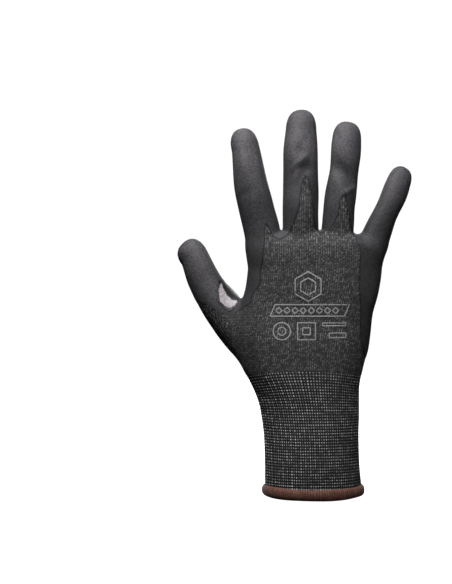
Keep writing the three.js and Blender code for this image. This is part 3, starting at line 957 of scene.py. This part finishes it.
def paintedTipLightShare(points):
    # share of the painted light on the foam: 0 on the hand, rising to 1 at each digit's tip
    best = np.zeros(len(points))
    for form in digitForms.values():
        along, across, out = digitPlace(points, form)
        near = np.hypot(across, out) < foam["besideDigit"] * max(form["width"])
        rise = easeBetween(foam["plainUntil"], 1.0, along / (form["reach"][-1] + form["cap"]))
        best = np.maximum(best, np.where(near, rise, 0.0))
    return best


# how much painted light the foam gets at each skin point
skinPaintedTipLight = paintedTipLightShare(skinPoints)


def addLayers():
    # each part's knit from the skin inwards, and its foam just proud of the skin where it is covered
    for part in ["wrist", "palm"] + digitParts:
        quads = skinQuads[skinParts == part]
        points, normals, faces, source = shell(skinPoints, skinNormals, quads, 0.0, -liner["thickness"])
        piece = makePiece(part + "Knit", points, faces, finishes["knit_liner"], normals, skinKnit[source],
                          knit["columns"], skinCover[source])
        standIn(nodesFor(part, "liner", True))
        setMotion(piece, part)
        covered = quads[skinCover[quads].max(axis=1) > foam["edge"]]
        points, normals, faces, source = shell(skinPoints, skinNormals, covered, foamHeight, foam["gap"])
        piece = makePiece(part + "Foam", points, faces, finishes["foam_nitrile"], normals,
                          cover=skinCover[source], paintedTipLight=skinPaintedTipLight[source])
        standIn(nodesFor(part, "coating", False))
        setMotion(piece, part)


addLayers()
print("knit and foam pieces are made")

# Ribbed cuff.
cuff = {"columns": 336, "ribs": 56, "bottom": 4.6, "course": 1.76, "rowsPerCourse": 4, "wall": 1.3,
        "ribHeight": 0.20, "courseHeight": 0.20, "fadeLow": 74.0, "fadeHigh": 78.6, "sagLow": 45.0,
        "tuck": 0.16, "courseKept": 0.25}


def sectionRing(turn, height):
    # points on the plain section outline, a rounded oval, at each turn and height
    part = handSection(height)
    power = 2 / part["squareness"]
    depth = np.where(np.sin(turn) < 0, part["back"], part["palm"])
    x = part["middle"] + part["width"] * signedPower(np.cos(turn), power)
    return x, depth * signedPower(np.sin(turn), power)


def evenTurns(count):
    return np.linspace(0, 2 * math.pi, count + 1)[:-1]


def cuffSurface():
    # the skin at even steps round and up, with a cosine rib round it and a cosine course up it
    count = int(round((wristBend["ribEnd"] - cuff["bottom"]) / cuff["course"])) * cuff["rowsPerCourse"] + 1
    rows = np.linspace(cuff["bottom"], wristBend["ribEnd"], count)
    even = evenTurns(cuff["columns"]) / (2 * math.pi)
    fineTurn = np.linspace(0, 2 * math.pi, 2001)
    turn = np.interp(even, shareGone(*sectionRing(fineTurn, np.full(len(fineTurn), 30.0))), fineTurn)
    turn, row = np.meshgrid(turn, rows)
    share = np.broadcast_to(even, turn.shape)
    sag = wristBend["sag"] * np.cos(turn) ** 2 * easeBetween(cuff["sagLow"], wristBend["ribEnd"], row)
    z = row - sag
    x, y = sectionRing(turn, z)
    points = np.stack((x, y, z), axis=-1).reshape(-1, 3)
    for step in range(5):
        points = levelPull(points)
    stitches = np.stack((share * cuff["ribs"] * 2, (row - cuff["bottom"]) / cuff["course"]), axis=-1)
    stitches = stitches.reshape(-1, 2)
    fade = 1 - easeBetween(cuff["fadeLow"], cuff["fadeHigh"], row.ravel())
    ribs = cuff["ribHeight"] * np.cos(2 * math.pi * stitches[:, 0] / 2) * fade
    kept = cuff["courseKept"] + (1 - cuff["courseKept"]) * fade
    courses = cuff["courseHeight"] * np.cos(2 * math.pi * (stitches[:, 1] - 0.5)) * kept
    tuck = cuff["tuck"] * (1 - fade)
    outward = gloveGradient(points)
    outward /= np.linalg.norm(outward, axis=1, keepdims=True)
    points = points + outward * (ribs + courses - tuck)[:, None]
    return points, rows, count, stitches


def gridNormals(points, rows, columns):
    # the cross product of the ways along and up a ring-shaped grid
    grid = points.reshape(rows, columns, 3)
    across = np.roll(grid, -1, axis=1) - np.roll(grid, 1, axis=1)
    along = np.gradient(grid, axis=0)
    normal = np.cross(across, along)
    return (normal / np.linalg.norm(normal, axis=-1, keepdims=True)).reshape(-1, 3)


def ringQuads(firstRow, lastRow, columns, closed=False):
    # quads between rows of points that run round a ring, and from the last row to row 0 if closed
    row, column = np.meshgrid(np.arange(firstRow, lastRow), np.arange(columns), indexing="ij")
    row, column = row.ravel() * columns, column.ravel()
    above = (row + columns) % (lastRow * columns) if closed else row + columns
    beside = (column + 1) % columns
    return np.stack((row + column, row + beside, above + beside, above + column), axis=1)


def addCuff():
    points, rows, count, stitches = cuffSurface()
    normals = gridNormals(points, count, cuff["columns"])
    split = int(np.searchsorted(rows, wristBend["split"]))
    for name, first, last, standsFor in (("cuffRib", 0, split, "cuff_rib"),
                                         ("wristRib", split, count - 1, "wrist_crease")):
        quads = ringQuads(first, last, cuff["columns"])
        shellPoints, shellNormals, faces, source = shell(points, normals, quads, 0.0, -cuff["wall"])
        piece = makePiece(name, shellPoints, faces, finishes["rib_cuff"], shellNormals, stitches[source],
                          cuff["ribs"] * 2)
        standIn([standsFor])
        if name == "cuffRib":
            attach(piece, "cuff")
        else:
            setMotion(piece, "wrist")


addCuff()
print("ribbed cuff is made")

# Hem roll.
hem = {"columns": 1008, "around": 22, "stitches": 126, "height": 3.55, "halfHeight": 3.45, "out": 2.35,
       "in": 1.6, "inset": 0.15, "ridge": 0.16, "slant": 0.5, "endLift": 1.3, "floor": 0.02}
# Slow unevenness round the roll: how often it goes up and down, where it starts, how high it is.
hemWaves = ((3, 0.6, 0.16), (7, 2.0, 0.10))
hemSwell = {"times": 5, "start": 1.0, "height": 0.04}


def addHem():
    # a rounded roll carried round the opening, with a slanting sine ridge for each stitch
    turn, roll = np.meshgrid(evenTurns(hem["columns"]), evenTurns(hem["around"]))
    height = np.full(turn.shape, hem["height"])
    x, y = sectionRing(turn, height)
    nextX, nextY = sectionRing(turn + 0.01, height)
    lastX, lastY = sectionRing(turn - 0.01, height)
    wayX, wayY = nextY - lastY, -(nextX - lastX)
    size = np.hypot(wayX, wayY)
    wayX, wayY = wayX / size, wayY / size
    stitch = turn / (2 * math.pi) * hem["stitches"]
    ridge = hem["ridge"] * np.abs(np.sin(math.pi * (stitch + hem["slant"] * np.sin(roll)))) ** 0.6
    reach = np.where(np.cos(roll) > 0, hem["out"], hem["in"])
    wave = sum(rise * np.sin(often * turn + start) for often, start, rise in hemWaves)
    lift = hem["halfHeight"] * (1 + hemSwell["height"] * np.sin(hemSwell["times"] * turn + hemSwell["start"]))
    out = reach * signedPower(np.cos(roll), 0.9) + ridge * np.cos(roll) + wave * 0.4 - hem["inset"]
    up = lift * signedPower(np.sin(roll), 0.85) + 0.2 * wave * (np.sin(roll) > 0)
    z = np.maximum(height + up, hem["floor"]) + hem["endLift"] * np.cos(turn) ** 2
    points = np.stack((x + wayX * out, y + wayY * out, z), axis=-1).reshape(-1, 3)
    uv = np.stack((stitch, roll), axis=-1).reshape(-1, 2)
    faces = ringQuads(0, hem["around"], hem["columns"], closed=True)
    piece = makePiece("hemRoll", points, faces, finishes["hem_thread"], None, uv, hem["stitches"])
    standIn(["hem_overlock"])
    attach(piece, "cuff")


addHem()
print("hem is made")

# Elastic thread inside the rib.
elastic = {"turns": 6, "radius": 0.32, "low": 11.0, "high": 61.0, "perTurn": 120, "around": 8,
           "inset": 1.75}


def tube(centre, radius, around):
    # a round tube along a path, closed to a point at both ends
    way = np.gradient(centre, axis=0)
    way /= np.linalg.norm(way, axis=1, keepdims=True)
    side = np.cross(way, (0.0, 0.0, 1.0))
    side /= np.linalg.norm(side, axis=1, keepdims=True)
    over = np.cross(side, way)
    angle = evenTurns(around)
    ring = side[:, None] * np.cos(angle)[None, :, None] + over[:, None] * np.sin(angle)[None, :, None]
    points = (centre[:, None] + radius * ring).reshape(-1, 3)
    ends = np.stack((centre[0] - way[0] * radius, centre[-1] + way[-1] * radius))
    top = (len(centre) - 1) * around
    quads = ringQuads(0, len(centre) - 1, around).tolist()
    first = [(len(points), (k + 1) % around, k) for k in range(around)]
    last = [(len(points) + 1, top + k, top + (k + 1) % around) for k in range(around)]
    return np.concatenate((points, ends)), quads + first + last


def addElastic():
    # a helix just inside the rib's outline
    turn = np.linspace(0, 2 * math.pi * elastic["turns"], elastic["turns"] * elastic["perTurn"])
    z = np.linspace(elastic["low"], elastic["high"], len(turn))
    x, y = sectionRing(turn, z)
    middle = handSection(z)["middle"]
    size = np.hypot(x - middle, y)
    share = (size - elastic["inset"]) / size
    centre = np.stack((middle + (x - middle) * share, y * share, z), axis=1)
    points, faces = tube(centre, elastic["radius"], elastic["around"])
    piece = makePiece("elasticThread", points, faces, finishes["elastic_yarn"])
    standIn(["cuff_elastic"])
    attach(piece, "cuff")


addElastic()
print("elastic is made")

# Glossy patch in the thumb crotch.
patch = {"middle": (-51.2, 11.0, 122.6), "along": (-0.42, 0.0, 0.91), "half": (9.6, 5.6, 9.0), "lift": 0.42,
         "edge": 1.1, "gap": 0.2, "rim": 1.9, "scale": 5.0,
         "paintedReflectionFrom": -0.3, "paintedReflectionFull": 0.5}
# the painted reflection on the part that faces the back: a crescent with its own breadth at each point (X, Z,
# half breadth)
paintedReflectionLine = np.array(((-57.2, 132.0, 0.3), (-57.0, 127.0, 1.7), (-55.2, 121.8, 2.7), (-51.6, 118.6, 2.9),
                      (-47.4, 119.2, 1.4)))


def paintedReflectionReach(points):
    # how far inside the crescent of painted reflection each point is, negative outside
    best = np.full(len(points), -np.inf)
    place = points[:, (0, 2)]
    for first, second in zip(paintedReflectionLine, paintedReflectionLine[1:]):
        edge = second[:2] - first[:2]
        share = np.clip((place - first[:2]) @ edge / (edge @ edge), 0.0, 1.0)
        gap = np.linalg.norm(place - first[:2] - share[:, None] * edge, axis=1)
        best = np.maximum(best, first[2] + share * (second[2] - first[2]) - gap)
    return np.where(points[:, 1] < patch["middle"][1], best, -np.inf)


def addPatch():
    # a shell over an oval of the skin and a rim round the crescent of painted reflection, thinning to its
    # edge
    along = unit(patch["along"])
    across = np.array((along[2], 0.0, -along[0]))
    away = skinPoints - patch["middle"]
    shape = np.sqrt((away @ along / patch["half"][0]) ** 2 + (away @ across / patch["half"][1]) ** 2
                    + (away[:, 1] / patch["half"][2]) ** 2)
    paintedReflection = paintedReflectionReach(skinPoints)
    inside = np.maximum(paintedReflection + patch["rim"], (1 - shape) * patch["scale"])
    height = foamHeight + patch["gap"] + patch["lift"] * easeBetween(0.0, patch["edge"], inside)
    # the share of painted reflection, passed to the material as its cover value
    paintedReflectionShare = easeBetween(patch["paintedReflectionFrom"], patch["paintedReflectionFull"], paintedReflection)
    for part, standsFor in (("thumb_root", ["thumb_crotch_patch"]), ("thumb_mid", [])):
        quads = skinQuads[(skinParts == part) & (inside[skinQuads].min(axis=1) > 0)]
        points, normals, faces, source = shell(skinPoints, skinNormals, quads, height, foamHeight + 0.02)
        name = "crotchPatch" + part.title().replace("_", "")
        piece = makePiece(name, points, faces, finishes["gloss_nitrile"], normals, cover=paintedReflectionShare[source])
        standIn(standsFor)
        setMotion(piece, part)


addPatch()
print("patch is made")

# Printed marks on the back.
ink = {"width": 0.64, "height": 0.10, "sunk": 0.06, "spacing": 0.6, "start": -24.0}


def backAt(x, z):
    # the point on the back of the glove seen at each X and Z, and the way out of the surface there
    points = np.stack((x, np.full(len(x), ink["start"]), z), axis=1)
    for step in range(14):
        slope = gloveGradient(points)[:, 1]
        points[:, 1] -= gloveField(points) / np.where(np.abs(slope) < 0.3, -0.3, slope)
    normals = gloveGradient(points)
    return points, normals / np.linalg.norm(normals, axis=1, keepdims=True)


def outline(turnings):
    # even steps along a closed straight-sided line
    turnings = np.array(turnings, float)
    points = []
    for first, second in zip(turnings, np.roll(turnings, -1, axis=0)):
        count = max(2, int(np.linalg.norm(second - first) / ink["spacing"]))
        points.append(first + (second - first) * (np.arange(count) / count)[:, None])
    return np.concatenate(points)


def roundLine(middle, radius, sides=72, start=0.0):
    # a circle's points
    turn = start + evenTurns(sides)
    return np.stack((middle[0] + radius * np.cos(turn), middle[1] + radius * np.sin(turn)), axis=1)


def evenSided(middle, radius, sides, start=0.0):
    # a figure with equal straight sides
    return outline(roundLine(middle, radius, sides, start))


def slantedBox(low, high, slant=0.0):
    # four sides, the upper one pushed along by the slant
    return outline((low, (high[0], low[1]), (high[0] + slant, high[1]), (low[0] + slant, high[1])))


def inkLine(path):
    # a flat ribbon laid on the back along a closed path
    points, normals = backAt(path[:, 0], path[:, 1])
    way = np.roll(points, -1, axis=0) - np.roll(points, 1, axis=0)
    side = np.cross(way, normals)
    side /= np.linalg.norm(side, axis=1, keepdims=True)
    half, top, low = ink["width"] / 2, ink["height"], -ink["sunk"]
    flat = 0.7 * half
    profile = ((-half, low), (half, low), (half, top / 2), (flat, top), (-flat, top), (-half, top / 2))
    rows = [points + side * across + normals * up for across, up in profile]
    return np.concatenate(rows), len(profile), len(path)


def addPrint(name, paths, standsFor):
    points = []
    faces = []
    for path in paths:
        ribbon, rows, columns = inkLine(path)
        faces.append(sum(map(len, points)) + ringQuads(0, rows, columns, closed=True))
        points.append(ribbon)
    piece = makePiece(name, np.concatenate(points), np.concatenate(faces), finishes["print_ink"])
    standIn([standsFor])
    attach(piece, "palm")


emblem = {"middle": (-4, 129.5), "radii": (9.0, 5.2), "sides": 6}
band = {"low": (-27, 111.5), "high": (18, 118.5), "slant": 3.0, "diamonds": 8, "first": -21.7, "step": 4.9,
        "middle": 115.0, "radius": 1.9}
doubleRing = {"middle": (-20, 102.5), "radii": (5.2, 2.4), "sides": (72, 40)}
tile = {"outer": ((-10.5, 97.4), (0.3, 107.6)), "inner": ((-7.4, 100.4), (-2.8, 104.6))}
bars = {"upper": ((4.6, 105.8), (18.8, 107.4)), "lower": ((8.6, 98.6), (18.8, 101.4))}


def addPrints():
    # plain figures only
    turned = math.pi / emblem["sides"]
    hexagons = [evenSided(emblem["middle"], radius, emblem["sides"], turned) for radius in emblem["radii"]]
    addPrint("printEmblem", hexagons, "print_emblem")
    diamonds = [evenSided((band["first"] + band["step"] * k, band["middle"]), band["radius"], 4)
                for k in range(band["diamonds"])]
    frameLine = slantedBox(band["low"], band["high"], band["slant"])
    addPrint("printBand", [frameLine] + diamonds, "print_band")
    rings = [roundLine(doubleRing["middle"], *pair) for pair in zip(doubleRing["radii"], doubleRing["sides"])]
    addPrint("printRing", rings, "print_ring")
    addPrint("printTile", [slantedBox(*tile["outer"]), slantedBox(*tile["inner"])], "print_tile")
    addPrint("printLineUpper", [slantedBox(*bars["upper"])], "print_line_upper")
    addPrint("printLineLower", [slantedBox(*bars["lower"])], "print_line_lower")


addPrints()
print("printed marks are made")

# Floor.
ground = {"side": 14.0, "steps": 12, "drop": 0.0005, "glow": 1.1}


def addFloor():
    # a flat grid, seen as white but giving no light to the glove
    line = np.linspace(-ground["side"] / 2, ground["side"] / 2, ground["steps"] + 1)
    x, y = np.meshgrid(line, line)
    points = np.stack((x.ravel(), y.ravel(), np.full(x.size, -ground["drop"])), axis=1)
    size = ground["steps"] + 1
    row, column = np.meshgrid(np.arange(ground["steps"]), np.arange(ground["steps"]), indexing="ij")
    corner = (row * size + column).ravel()
    mesh = bpy.data.meshes.new("floor")
    quads = np.stack((corner, corner + 1, corner + size + 1, corner + size), axis=1)
    mesh.from_pydata(points, [], quads.tolist())
    look = {"Base Color": (0.9, 0.9, 0.9, 1), "Roughness": 0.9, "Emission Color": (1, 1, 1, 1),
            "Emission Strength": ground["glow"]}
    mesh.materials.append(newMaterial("floor", look)[0])
    floor = bpy.data.objects.new("floor", mesh)
    floor.visible_diffuse = False
    floor.visible_glossy = False
    bpy.context.scene.collection.objects.link(floor)


addFloor()
print("floor is laid")
